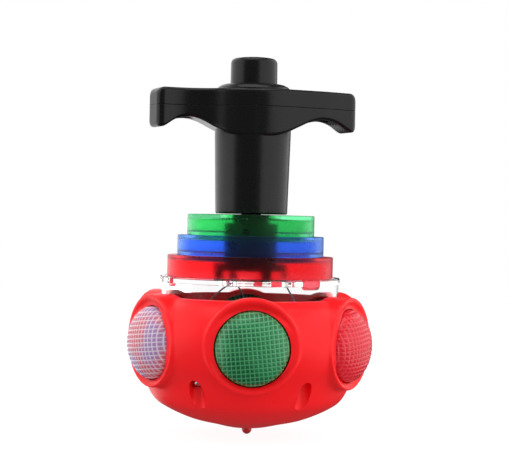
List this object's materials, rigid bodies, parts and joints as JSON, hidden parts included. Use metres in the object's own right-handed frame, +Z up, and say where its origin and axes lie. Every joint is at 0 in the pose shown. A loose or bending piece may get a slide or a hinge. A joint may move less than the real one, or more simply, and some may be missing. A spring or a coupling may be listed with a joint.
{
  "type": "spinning top",
  "caption": "Light-up spinning top with domed lenses round a bowl, stacked translucent tiers and a winged wind-up launcher with a push button on top.",
  "frame": {"origin": "lowest point of the tip, on the axis of the top", "axes": "+Z up along the spin axis, -Y through the middle of one lens, the launcher's wings along X"},
  "size_m": [0.0722, 0.0778, 0.113],
  "materials": {
    "red_plastic": "glossy moulded red",
    "dark_red_plastic": "glossy moulded dark red",
    "black_plastic": "semi-gloss moulded black",
    "clear_plastic": "clear moulded plastic",
    "red_translucent": "translucent red",
    "green_translucent": "translucent green",
    "blue_translucent": "translucent blue",
    "led_clear": "clear epoxy",
    "board": "solder-masked laminate",
    "steel": "bright plated steel",
    "spring_metal": "drawn spring wire",
    "copper": "bare tinned lead"
  },
  "bodies": {
    "spinner": {"battery_contact_minus": "spring_metal", "battery_contact_plus": "spring_metal", "battery_holder": "black_plastic", "blue_tier": "blue_translucent", "body_screw_1": "steel", "body_screw_2": "steel", "body_screw_3": "steel", "bowl": "red_plastic", "button_cell_1": "steel", "button_cell_2": "steel", "button_cell_3": "steel", "buzzer": "black_plastic", "circuit_board": "board", "clear_cover": "clear_plastic", "drive_socket": "black_plastic", "green_tier": "green_translucent", "lens_1": "green_translucent", "lens_2": "red_translucent", "lens_3": "clear_plastic", "lens_4": "green_translucent", "lens_5": "red_translucent", "lens_6": "clear_plastic", "lens_led_1": "led_clear", "lens_led_2": "led_clear", "lens_led_3": "led_clear", "lens_led_4": "led_clear", "lens_led_5": "led_clear", "lens_led_6": "led_clear", "red_tier": "red_translucent", "spin_switch": "steel", "tier_led_1": "led_clear", "tier_led_2": "led_clear", "tier_led_3": "led_clear", "tier_wire_1": "copper", "tier_wire_2": "copper", "tier_wire_3": "copper", "tip": "dark_red_plastic"},
    "spindle": {"drive_spindle": "black_plastic", "drive_dog": "black_plastic", "main_spring": "spring_metal"},
    "handle": {"handle_lower": "black_plastic", "handle_upper": "black_plastic", "handle_screw_1": "steel", "handle_screw_2": "steel", "stem_end_cap": "black_plastic", "spring_retainer": "black_plastic", "return_spring": "spring_metal"},
    "button": {"release_button": "black_plastic", "ratchet_collar": "black_plastic"}
  },
  "joints": [
    {"name": "launcher_lift", "type": "slide", "parent": "spinner", "child": "spindle", "axis": [0, 0, 1], "range_m": [0, 0.03]},
    {"name": "winding", "type": "hinge", "parent": "spindle", "child": "handle", "pos_m": [0, 0, 0.09], "axis": [0, 0, 1], "range_deg": [0, 1080]},
    {"name": "button_press", "type": "slide", "parent": "handle", "child": "button", "axis": [0, 0, -1], "range_m": [0, 0.003], "stiffness_N_per_m": 200, "springref_m": -0.002, "deforming": ["return_spring"]}
  ]
}
